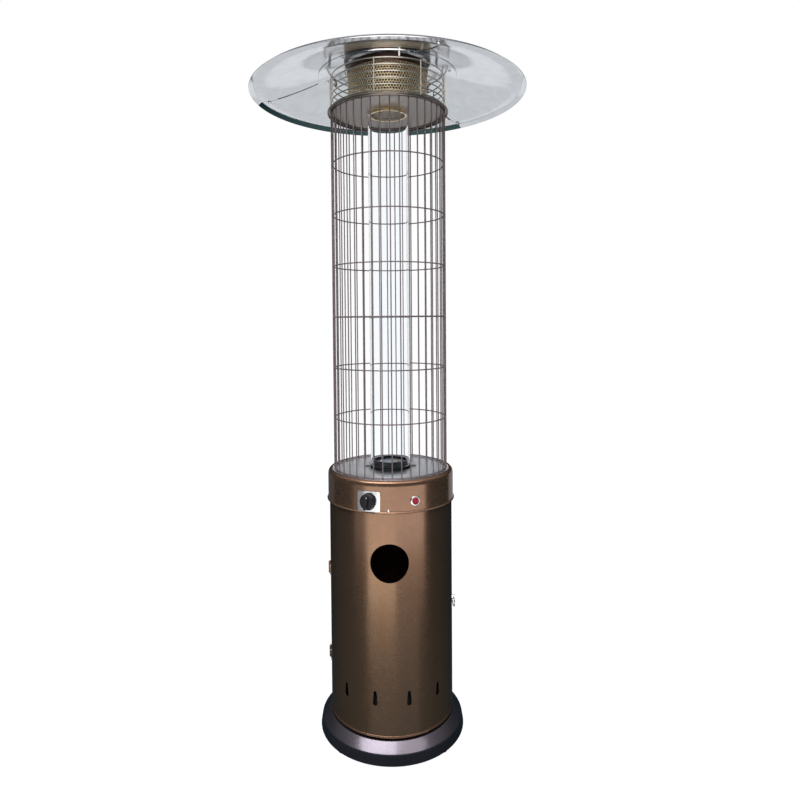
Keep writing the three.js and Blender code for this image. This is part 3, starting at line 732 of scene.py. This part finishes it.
def make_hinges():
    reach, third, gap = HINGE["tall"] / 2, HINGE["tall"] / 6, 0.3
    knuckle, pin, head = HINGE["knuckle"], HINGE["pin"], HINGE["head"]
    barrel_at = shift(x=-HINGE["radius"])
    for name, height in HINGE_HEIGHTS.items():
        spans = {
            "fixed": [(height - third, height + third)],
            "leaf": [(height - reach, height - third - gap), (height + third + gap, height + reach)],
        }
        for part, knuckles in spans.items():
            side = 1 if part == "fixed" else -1
            centre = -90 + side * 4.75
            outline = round_rectangle(20.5, HINGE["tall"], 3, 0, height)
            leaf = moved(plate([outline], 1.5), shift(y=-0.75))
            shapes = [moved(wrapped(leaf, TANK_OUTSIDE), station(centre, 0))]
            for start, end in knuckles:
                tube = hoop(HINGE["bore"], knuckle, start, end, 0.4)
                shapes.append(moved(lathe(tube, 32), barrel_at))
                near, far = (-6.0, -2.0) if side > 0 else (2.0, 6.0)
                shapes.append(block((-187.6, near, start + 0.2), (-185.6, far, end - 0.2)))
            body = "heater" if side > 0 else "door"
            replaced = [f"hinge_{name}_{part}"]
            piece(f"hinge_{name}_{part}_plate", merged(*shapes), BRONZE, body, replaced, bevel=0.25)
            for level, offset in (("low", -10), ("high", 10)):
                there = station(centre + side * 0.9, 186.8, height + offset)
                screw = moved(pan_screw(2.4, 1.2), OUTWARD, there)
                piece(f"hinge_{name}_{part}_screw_{level}", screw, ZINC, body)
        rod = rounded([
            (0, -reach - 2), (head, -reach - 2), (head, -reach - 0.4), (pin, -reach - 0.4),
            (pin, reach + 0.4), (head, reach + 0.4), (head, reach + 2), (0, reach + 2),
        ], 0.4)
        place = barrel_at @ shift(z=height)
        piece(f"hinge_{name}_rod", moved(lathe(rod, 32), place), ZINC, replaces=[f"hinge_{name}_pin"])


def make_pull():
    bearing, radius, height = PULL["bearing"], PULL["radius"], PULL["height"]
    outline = round_rectangle(23, 41, 3, 0, height - 13.5)
    flat = moved(plate([outline], 1.4), shift(y=-0.7))
    base = moved(wrapped(flat, TANK_OUTSIDE), station(bearing, 0))
    boss = cut(
        moved(plate([round_rectangle(7, 10, 1.5)], 13.6), shift(y=2.2)),
        moved(lathe(hoop(0, 2.7, -8, 8), 32), Matrix.Rotation(math.pi / 2, 4, "Y")),
    )
    shape = merged(base, moved(boss, station(bearing, radius, height)))
    piece("pull_plate", shape, CHROME, "door", ["pull_bracket"], bevel=0.3)
    for x, z in ((-8, 3.0), (8, 3.0), (-8, -30), (8, -30)):
        there = station(bearing, 0) @ station(math.degrees(x / 186.7), 186.7, height + z)
        name = f"pull_screw_{'right' if x > 0 else 'left'}_{'top' if z > 0 else 'foot'}"
        piece(name, moved(pan_screw(2, 1.1, False), OUTWARD, there), CHROME, "door")
    loop = [
        (PULL["ring"] * math.sin(a), 0, PULL["ring"] * math.cos(a) - PULL["ring"])
        for a in (2 * math.pi * k / 64 for k in range(64))
    ]
    ring = moved(wire(loop, PULL["wire"], 16, True), station(bearing, radius, height))
    piece("pull_ring_wire", ring, CHROME, "pull", ["pull_ring"])


def make_control_housing():
    radius, bottom, top = PANEL["radius"], PANEL["bottom"], PANEL["top"]
    inner = radius - SHEET
    profile = rounded([
        (inner, bottom), (192, bottom), (193, bottom + 1.8), (radius, bottom + 4.6), (radius, top - 13),
        (187, top - 4.4), (181, top), (178, top - 2.2), (160, top - 2.2), (160, top - 3.7),
        (180.6, top - 3.7), (185.4, top - 7), (inner, top - 13.5),
    ], 4.0, 5)
    holes = [
        moved(lathe(hoop(0, size, -9, 6), 32), OUTWARD, station(at["bearing"], radius, at["height"]))
        for at, size in ((KNOB, 8), (IGNITER, 12))
    ]
    wall = cut(lathe(profile, 180), *holes)
    piece("control_housing_wall", wall, BRONZE, replaces=["control_housing"])
    screw = moved(pan_screw(3.4, 2.2), OUTWARD, station(-2, radius, 709))
    piece("housing_screw", screw, CHROME)
    deck = hoop(45.3, 176, DECK_TOP - SHEET, DECK_TOP, 0.6)
    piece("deck_plate", lathe(deck, 144), SATIN, replaces=["burner_deck"])


def make_knob():
    bearing, height, rest = KNOB["bearing"], KNOB["height"], KNOB["rest"]
    front = station(bearing, PANEL["radius"], height)
    hole = arc_points(0, height, 8, 0, 360, 40)[:-1]
    face = moved(plate([round_rectangle(66, 57, 6, 0, height), hole], 1.4), shift(y=-0.7))
    bezel = moved(wrapped(face, PANEL["radius"] + 0.3), station(bearing, 0))
    piece("knob_bezel_plate", bezel, CHROME, replaces=["knob_bezel"], bevel=0.35)

    radius = KNOB["radius"]
    disc = rounded([
        (0, rest), (radius, rest), (radius, rest + 3.2), (radius - 2.4, rest + 5), (radius - 3.8, rest + 12),
        (radius - 6, rest + 13.4), (0, rest + 13.4),
    ], 1.0, 4)
    verts, faces = lathe(disc, 144)
    ribs = 24
    fluted = []
    for x, y, z in verts:
        r, side = math.hypot(x, y), rest + 5.4 < z < rest + 12.4
        if side and r > 14:
            depth = 1 - 0.028 * (1 - math.cos(ribs * math.atan2(x, y)))
            x, y = x * depth, y * depth
        fluted.append((x, y, z))
    body = moved((fluted, faces), OUTWARD)
    turn = Matrix.Rotation(math.radians(10), 4, "Y")
    grip = moved(plate([round_rectangle(9, 39, 3.6)], 8.4), shift(y=-rest - 15.6), turn)
    piece("knob_body", moved(body, front), BLACK, "knob", ["control_knob"])
    piece("knob_grip", moved(grip, front), BLACK, "knob", bevel=1.3)
    dot = lathe(hoop(0, 1.7, 0, 0.35, 0.15), 20)
    place = turn @ shift(y=-rest - 19.75, z=15.6)
    piece("knob_mark", moved(dot, OUTWARD, place, front), WHITE_MARK, "knob")

    shaft = hoop(0, 4, -20, rest + 9, 0.5)
    piece("spindle_rod", moved(lathe(shaft, 32), OUTWARD, front), ZINC, "knob", ["valve_spindle"])
    bush = hoop(4.4, 6.4, -12.5, -6.5, 0.4)
    piece("spindle_collar", moved(lathe(bush, 32), OUTWARD, front), BRASS, "press", ["spindle_bush"])
    finish_node("gas_valve", BRASS, 0.6)
    inner_end = 10 - PANEL["radius"]
    tube = hoop(0, 4, inner_end, -VALVE_FACE, 0.4)
    collar = hoop(4, 7, -66, -VALVE_FACE, 0.6)
    pipe = merged(lathe(tube, 32), lathe(collar, 6))
    piece("burner_pipe", moved(pipe, OUTWARD, front), BRASS, replaces=["gas_pipe"])
    holder = moved(plate([round_rectangle(19, 18.5, 2.5, 0, 732)], 19), station(bearing, 0))
    nozzle = lathe(rounded([(0, 740), (4, 740), (4, 750), (2.4, 753), (0, 753)], 0.6), 32)
    piece("injector_holder", holder, BRASS, bevel=0.8)
    piece("injector_nozzle", nozzle, BRASS)


def make_igniter():
    front = station(IGNITER["bearing"], PANEL["radius"], IGNITER["height"])
    collar = rounded([
        (9.3, -17), (11.4, -17), (11.4, 0.4), (14.5, 0.4), (14.5, 2.4), (12.6, 4), (9.3, 4),
    ], 0.9, 4)
    piece("igniter_ring", moved(lathe(collar, 64), OUTWARD, front), CHROME, replaces=["igniter_collar"])
    push = rounded([(0, -10), (9, -10), (9, 6.8), (7.6, 8.8), (4, 9.3), (0, 9.4)], 1.2, 4)
    piece("igniter_push", moved(lathe(push, 64), OUTWARD, front), RED, "igniter", ["igniter_button"])
    piezo = rounded([(0, -58), (4, -58), (4, -50), (11, -50), (11, -17.4), (0, -17.4)], 1.0)
    piece("piezo_body", moved(lathe(piezo, 48), OUTWARD, front), BLACK, replaces=["piezo_igniter"])


def make_burner():
    rest = low("tube_clip_left").z
    cup = rounded([
        (12, 742), (14, 742), (14, 760), (40, 776), (44.6, rest), (61, rest), (61, 795), (52.4, 796),
        (52, BURNER_TOP), (49, BURNER_TOP), (49, 798), (38.6, 777.4), (12, 761.4),
    ], 1.6, 3)
    piece("burner_bowl", lathe(cup, 96), BURNT, replaces=["burner_cup"])
    screen = perforated_disc(47.4, 4.0, 1.35, lambda r: 804 - r * 2.4 / 48.6)
    rim = lathe(hoop(46.2, 48.6, 800.2, 803, 0.5), 96)
    piece("burner_screen_disc", screen, BURNER_STEEL, replaces=["burner_head"], sheet=0.8)
    piece("burner_screen_rim", rim, BURNER_STEEL)
    insulator = rounded([(0, 745), (2.6, 745), (2.6, 806), (1.4, 808), (0, 808)], 0.6)
    tip = hoop(0, 0.9, 807, 818, 0.4)
    x, y, _ = (low("spark_electrode") + high("spark_electrode")) / 2
    piece("spark_insulator", moved(lathe(insulator, 24), shift(x, y)), CERAMIC, replaces=["spark_electrode"])
    piece("spark_tip", moved(lathe(tip, 16), shift(x, y)), CHROME)
    probe = rounded([(0, 746), (2, 746), (2, 811), (1.2, 813), (0, 813)], 0.8)
    x, y, _ = (low("thermocouple") + high("thermocouple")) / 2
    piece("flame_probe", moved(lathe(probe, 24), shift(x, y)), BRASS, replaces=["thermocouple"])
    finish_node("ignition_lead", RUBBER, 0.2)
    finish_node("tilt_switch", BLACK, 0.8)
    for side in ("left", "right"):
        finish_node(f"tube_clip_{side}", CHROME, 0.3)


def make_cage():
    rods, phase, circle_radius, size = (CAGE[k] for k in ("rods", "phase", "circle", "wire"))
    first, pitch, rings = CAGE["first"], CAGE["pitch"], CAGE["rings"]
    top = first + pitch * (rings - 1) + 2
    ring_radius = circle_radius - 2 * size + 0.5
    shapes = []
    for k in range(rods):
        bearing = math.radians(phase + 360 * k / rods)
        x, y = circle_radius * math.sin(bearing), -circle_radius * math.cos(bearing)
        heights = [first - 2] + [first + pitch * i for i in range(1, rings - 1)] + [top]
        shapes.append(wire([(x, y, z) for z in heights], size, 12))
        nugget = rounded([(0, -2.2), (1.5, -1.6), (2.2, 0), (1.5, 1.6), (0, 2.2)], 0.5)
        for i in range(rings):
            place = station(phase + 360 * k / rods, circle_radius - size, first + pitch * i)
            shapes.append(moved(lathe(nugget, 8), place))
    for i in range(rings):
        shapes.append(wire(circle(ring_radius, first + pitch * i), size, 12, True))
    quarters = [f"guard_cage_{q}" for q in range(1, 5)]
    piece("guard_cage_wires", merged(*shapes), WIRE, replaces=quarters)


def make_head():
    foot, top = low("glass_tube").z, high("glass_tube").z
    wall = hoop(*FLAME_TUBE, foot, top, 0.8)
    piece("flame_tube_glass", lathe(wall, 128), GLASS, replaces=["glass_tube"])

    under, lip = TOP_PLATE["under"], TOP_PLATE["radius"]
    plate_edge = rounded([
        (50, under), (lip - 3.8, under), (lip - 3.8, under - 4.6), (lip - 2, under - 6), (lip, under - 4),
        (lip, under + 0.6), (lip - 1.6, under + 2), (50, under + 2),
    ], 1.3, 4)
    # The top plate's brown tone is a painted reflection of the parts beneath it.
    piece("top_plate_formed", lathe(plate_edge, 180), TOP_PLATE_PAINTED_REFLECTION, replaces=["top_plate"])

    mesh_low = low("flue_mesh").z
    cup_radius = high("flue_mesh").x
    screen = perforated_disc(cup_radius - 1.5, 8.4, 3.2, lambda r: mesh_low + 1.2)
    piece("flue_screen", screen, FLUE_STEEL, replaces=["flue_mesh"], sheet=0.9)
    skirt = rounded([
        (cup_radius - 4.5, mesh_low), (cup_radius, mesh_low), (cup_radius, mesh_low + 8),
        (cup_radius - 1.1, mesh_low + 8), (cup_radius - 1.1, mesh_low + 1.4),
        (cup_radius - 4.5, mesh_low + 1.4),
    ], 0.6)
    piece("flue_skirt", lathe(skirt, 96), FLUE_RIM)

    radius, foot = EMITTER["radius"], low("emitter_screen").z
    columns = 88
    pitch = 2 * math.pi * radius / columns
    rows = math.floor((EMITTER["band"] + 3 - foot) / (pitch * 0.866))

    def place(u, v):
        return radius * math.sin(u / radius), -radius * math.cos(u / radius), foot + 3 + v

    screen = perforated(columns, rows, pitch, 2.7, place)
    piece("emitter_mesh", screen, EMITTER_STEEL, replaces=["emitter_screen"], sheet=1.0)
    hem = hoop(radius - 1.3, radius + 0.3, foot, foot + 5, 0.5)
    piece("emitter_hem", lathe(hem, 128), EMITTER_STEEL)
    band, top = EMITTER["band"], high("emitter_cap").z
    cap = rounded([
        (0, top - 1.3), (radius + 0.5, top - 1.3), (radius + 0.5, band), (radius + 1.2, band),
        (radius + 1.2, band + 3), (radius + 1.7, band + 4.4), (radius + 1.7, band + 11.6),
        (radius + 1.2, band + 13), (radius + 1.2, top - 1), (radius - 0.5, top), (0, top),
    ], 0.8)
    piece("emitter_lid", lathe(cap, 128), CAP_STEEL, replaces=["emitter_cap"])


def make_head_guard():
    size, first, pitch, rings = (HEAD_GUARD[k] for k in ("wire", "first", "pitch", "rings"))
    levels = [first + pitch * i for i in range(rings)]
    shapes = [wire(circle(HEAD_GUARD["radius"], level), size, 12, True) for level in levels]
    low_end, top = low("head_guard").z, levels[-1] + 1
    for bearing in HEAD_UPRIGHTS:
        b = math.radians(bearing)
        reach = HEAD_GUARD["radius"] + 2 * size - 0.6
        x, y = reach * math.sin(b), -reach * math.cos(b)
        shapes.append(wire([(x, y, low_end), (x, y, (low_end + top) / 2), (x, y, top)], size, 12))
    piece("head_guard_wires", merged(*shapes), BRIGHT_WIRE, replaces=["head_guard"])


def dome(radius):
    """The height of the reflector's underside at a radius."""
    share = max(0.0, 1 - radius / REFLECTOR["brim"])
    return REFLECTOR["rim"] + REFLECTOR["rise"] * share ** REFLECTOR["flare"]


def on_dome(bearing, radius, lift):
    """A place on the dome whose +Z is square to the sheet."""
    slope = math.atan((dome(radius - 2) - dome(radius + 2)) / 4)
    return station(bearing, radius, dome(radius) + lift) @ Matrix.Rotation(slope, 4, "X")


def make_reflector():
    radius, rim, sheet = (REFLECTOR[k] for k in ("radius", "rim", "sheet"))
    lap, inner, crown = sheet + 0.3, 176, 60
    top = dome(crown) + 2
    radii = [crown + (REFLECTOR["centre"] - crown) * k / 14 for k in range(15)]
    disc = [(0, top), (crown * 0.5, top - 0.5)] + [(r, dome(r)) for r in radii]
    disc += [(r, dome(r) + sheet) for r in reversed(radii)]
    disc += [(crown * 0.5, top + sheet - 0.5), (0, top + sheet)]
    piece("reflector_disc", lathe(disc, 180), MIRROR, replaces=["reflector_centre"])

    crease = radius - LIP["reach"]
    radii = [crease - 1.6 - (crease - 1.6 - inner) * k / 18 for k in range(19)]
    outline = [(crease, rim + lap), (crease + 0.7, rim + lap + sheet)]
    outline += [(r, dome(r) + lap + sheet) for r in radii] + [(r, dome(r) + lap) for r in reversed(radii)]
    lip = rounded([
        (crease + 0.1, rim + lap), (radius - 1, rim - LIP["drop"]), (radius, rim - LIP["drop"] + 0.9),
        (crease + 0.8, rim + lap + sheet),
    ], 0.4, 4)
    strip = [388 - (388 - 210) * k / 12 for k in range(13)]
    over = [(r, dome(r) + lap + sheet + 0.2) for r in strip]
    over += [(r, dome(r) + lap + 2 * sheet + 0.2) for r in reversed(strip)]
    hem = [340 - (340 - 214) * k / 8 for k in range(9)]
    fold = [(r, dome(r) + lap - 0.9) for r in hem] + [(r, dome(r) + lap + 0.2) for r in reversed(hem)]
    for i, seam in enumerate(SEAMS):
        panel = lathe(outline, 66, seam + SEAM_GAP, PANEL_SWEEP)
        cover = lathe(over, 3, seam + 119.4, 2.6)
        name = f"reflector_leaf_{i + 1}"
        piece(name, merged(panel, cover), MIRROR, replaces=[f"reflector_panel_{i + 1}"])
        # The back panel's lip takes the darker, greener steel, a painted dark reflection; the other lips take
        # the bright reflector steel.
        lip_look = SHADED_RIM_STEEL if seam == BACK_SEAM else MIRROR
        piece(f"rim_lip_{i + 1}", lathe(lip, 66, seam + SEAM_GAP, PANEL_SWEEP), lip_look)
        # Each seam's fold is dark grey, a painted shadow line where the panels lap.
        piece(f"seam_fold_{i + 1}", lathe(fold, 1, seam + 0.3, 0.55), SEAM_SHADOW_STEEL)
        bolt = lathe(rounded([
            (0, -5.2), (3.4, -4.6), (5.5, -2.4), (5.5, -0.6), (3, -0.6), (3, 3.4), (5.5, 3.4), (5.5, 4.6),
            (3.5, 6.2), (0, 6.2),
        ], 0.6), 28)
        there = on_dome(seam + SEAM_SCREW["turn"], SEAM_SCREW["radius"], lap)
        piece(f"seam_bolt_{i + 1}", moved(bolt, there), CHROME, replaces=[f"seam_screw_{i + 1}"])
    for bearing in (258, -42, 18, 78, 138, 198):
        clamp = lathe(rounded([
            (0, -3.4), (2.6, -2.8), (4.2, -0.9), (4.2, -0.1), (2.2, -0.1), (2.2, 2.8), (4.6, 2.8),
            (4.6, 5.8), (0, 5.8),
        ], 0.5), 24)
        piece(f"clamp_bolt_{bearing % 360}", moved(clamp, on_dome(bearing, 186, 0)), CHROME)

    foot = low("reflector_post_1").z
    thick, stud = POST["radius"], POST["stud"]
    shoulder = dome(POST["circle"] + thick) - 0.3
    seat = dome(POST["circle"] - 7) + sheet + 0.3
    for i, bearing in enumerate(POST["bearings"]):
        place = station(bearing, POST["circle"])
        post = rounded([
            (0, foot), (thick, foot), (thick, shoulder), (stud, shoulder), (stud, seat + 12),
            (0, seat + 12),
        ], 0.5)
        piece(f"post_{i + 1}", moved(lathe(post, 28), place), CHROME, replaces=[f"reflector_post_{i + 1}"])
        hub = lathe(rounded([(3.3, seat), (6.5, seat), (5.6, seat + 8), (3.3, seat + 8)], 0.7), 28)
        wing = moved(plate([round_rectangle(9, 11, 3.4, 9.5, 5.5)], 2.2), shift(z=seat + 2))
        wings = [moved(wing, Matrix.Rotation(turn, 4, "Z")) for turn in (0, math.pi)]
        nut = moved(merged(hub, *wings), place)
        piece(f"wing_nut_{i + 1}_formed", nut, CHROME, replaces=[f"wing_nut_{i + 1}"], bevel=0.6)


# ---------------------------------------------------------------- studio
def area_light(name, place, target, width, height, radiance, colour=(1, 1, 1), only=None):
    """A softbox of a size and radiance that faces a target; it may light only some pieces."""
    data = bpy.data.lights.new(name, "AREA")
    data.shape = "RECTANGLE"
    data.size, data.size_y = width, height
    data.energy = radiance * math.pi * width * height
    data.color = colour
    obj = bpy.data.objects.new(name, data)
    obj.location = place
    obj.rotation_euler = (Vector(target) - Vector(place)).to_track_quat("-Z", "Y").to_euler()
    obj.visible_camera = False
    obj.visible_transmission = False
    bpy.context.scene.collection.objects.link(obj)
    if only:
        obj.light_linking.receiver_collection = only


# Softboxes on a wall 3 m from the axis: bearings from and to, bottom, top, radiance and colour.
WALL_PANELS = (
    ("front_edge", -68, -46, -0.45, 0.35, 0.3, (1.0, 0.97, 0.98)),
    ("front_top", -46, 62, -0.45, 0.35, 1.12, (1.0, 0.97, 0.98)),
    ("front_left", -42, 8, -0.85, -0.45, 1.28, (0.98, 1.0, 0.88)),
    ("front_right", 8, 62, -0.85, -0.45, 0.2, (1.0, 0.98, 0.98)),
    ("front_low", -46, 50, -1.15, -0.85, 0.16, (0.92, 1.0, 0.98)),
    ("front_foot", -40, 50, -1.9, -1.15, 0.085, (0.85, 1.0, 1.2)),
)
EDGE_PANELS = (
    ("edge_right", 128, 178, -0.3, 0.8, 0.5, (0.9, 1.0, 1.1)),
    ("edge_left", -170, -120, -0.3, 0.8, 0.12, (0.85, 1.0, 1.15)),
)


def wall_light(receivers, name, start, end, bottom, top, radiance, colour):
    """A curved softbox in flat parts that face the axis; it lights only its receivers."""
    distance, parts = 3.0, math.ceil((end - start) / 28)
    span = math.radians((end - start) / parts)
    height = (bottom + top) / 2
    for k in range(parts):
        azimuth = math.radians(start) + span * (k + 0.5)
        place = (distance * math.sin(azimuth), -distance * math.cos(azimuth), height)
        width = 2 * distance * math.tan(span / 2)
        area_light(f"{name}_{k + 1}", place, (0, 0, height), width, top - bottom, radiance, colour, receivers)


def make_world():
    """Dark studio walls and a soft ceiling for the reflections; plain white behind the heater."""
    world = bpy.data.worlds.new("studio")
    world.use_nodes = True
    graph = Graph(world.node_tree)
    towards = graph.node("ShaderNodeTexCoord").outputs["Generated"]
    rise = graph.node("ShaderNodeSeparateXYZ", {0: towards}).outputs["Z"]
    level = graph.node("ShaderNodeMapRange", {"Value": rise, "From Min": -1}).outputs[0]
    room = graph.ramp(
        level, (0.0, (0.06, 0.11, 0.11)), (0.3, (0.01, 0.026, 0.036)), (0.5, (0.012, 0.032, 0.044)),
        (0.7, (0.035, 0.045, 0.05)), (1.0, (0.5, 0.5, 0.53)),
    )
    rays = graph.node("ShaderNodeLightPath").outputs
    seen = graph.math("MAXIMUM", rays["Is Camera Ray"], rays["Is Transmission Ray"])
    graph.put(graph.nodes["Background"].inputs["Color"], graph.mix(seen, room, (1.0, 1.0, 1.0)))
    bpy.context.scene.world = world


def make_floor():
    bm = bmesh.new()
    bmesh.ops.create_circle(bm, cap_ends=True, radius=9, segments=96)
    mesh = bpy.data.meshes.new("studio_floor")
    bm.to_mesh(mesh)
    bm.free()
    floor = bpy.data.objects.new("studio_floor", mesh)
    floor.location.z = -0.0003
    bpy.context.scene.collection.objects.link(floor)
    look = Look("pale_floor", "", Roughness=0.8, Emission_Color=(1, 1, 1, 1), Emission_Strength=0.97)
    look.colour(look.ramp(look.noise(3, 3), (0.3, 0.2), (0.7, 0.22)))
    mesh.materials.append(look.material)
    floor.visible_glossy = floor.visible_diffuse = floor.visible_shadow = False


def make_camera():
    data = bpy.data.cameras.new("camera")
    data.sensor_width, data.lens = 36, 28.5
    data.shift_x, data.shift_y = 0.0131, -0.0709
    camera = bpy.data.objects.new("camera", data)
    camera.location = (0, -1.9184, 1.2337)
    pitch, roll = math.radians(-2.07), math.radians(-0.45)
    camera.rotation_euler = (
        Matrix.Rotation(math.radians(90) + pitch, 4, "X") @ Matrix.Rotation(roll, 4, "Z")
    ).to_euler()
    bpy.context.scene.collection.objects.link(camera)
    bpy.context.scene.camera = camera


make_camera()
make_base()
make_tank()
make_hinges()
make_pull()
make_control_housing()
make_knob()
make_igniter()
make_burner()
make_cage()
make_head()
make_head_guard()
make_reflector()

make_world()
make_floor()
for name in ("emitter_mesh", "emitter_hem", "emitter_lid", "top_plate_formed", "flue_skirt"):
    STEEL_PIECES.objects.link(bpy.data.objects[name])
NOT_THE_BASE.objects.link(bpy.data.objects["base_pan_formed"])
NOT_THE_BASE.collection_objects[0].light_linking.link_state = "EXCLUDE"
HOUSING_PIECES.objects.link(bpy.data.objects["control_housing_wall"])
for panel in WALL_PANELS:
    wall_light(NOT_THE_BASE, *panel)
for panel in EDGE_PANELS:
    wall_light(HOUSING_PIECES, *panel)
area_light("upper_wide", (0.1, -1.6, 2.66), (0.1, -1.6, 0), 4.4, 1.5, 1.5, (0.95, 0.93, 1.0))
area_light("upper_left", (-1.0, -1.6, 2.7), (-1.0, -1.6, 0), 2.5, 1.6, 2.6, (0.93, 0.95, 1.0))
area_light("floor_behind", (0, 2.5, 0.02), (0, 2.5, 2), 6.5, 5.2, 0.66, (0.97, 0.98, 1.0), STEEL_PIECES)
area_light("floor_in_front", (0, -1.55, 0.02), (0, -1.55, 2), 1.5, 1.9, 4.2, (1.0, 0.96, 0.9), STEEL_PIECES)
area_light("back_panel", (0, 5.2, 1.5), (0, 0, 1.4), 7.5, 3.0, 0.8, (0.97, 0.98, 1.0), STEEL_PIECES)

bpy.context.scene.view_settings.view_transform = "Standard"
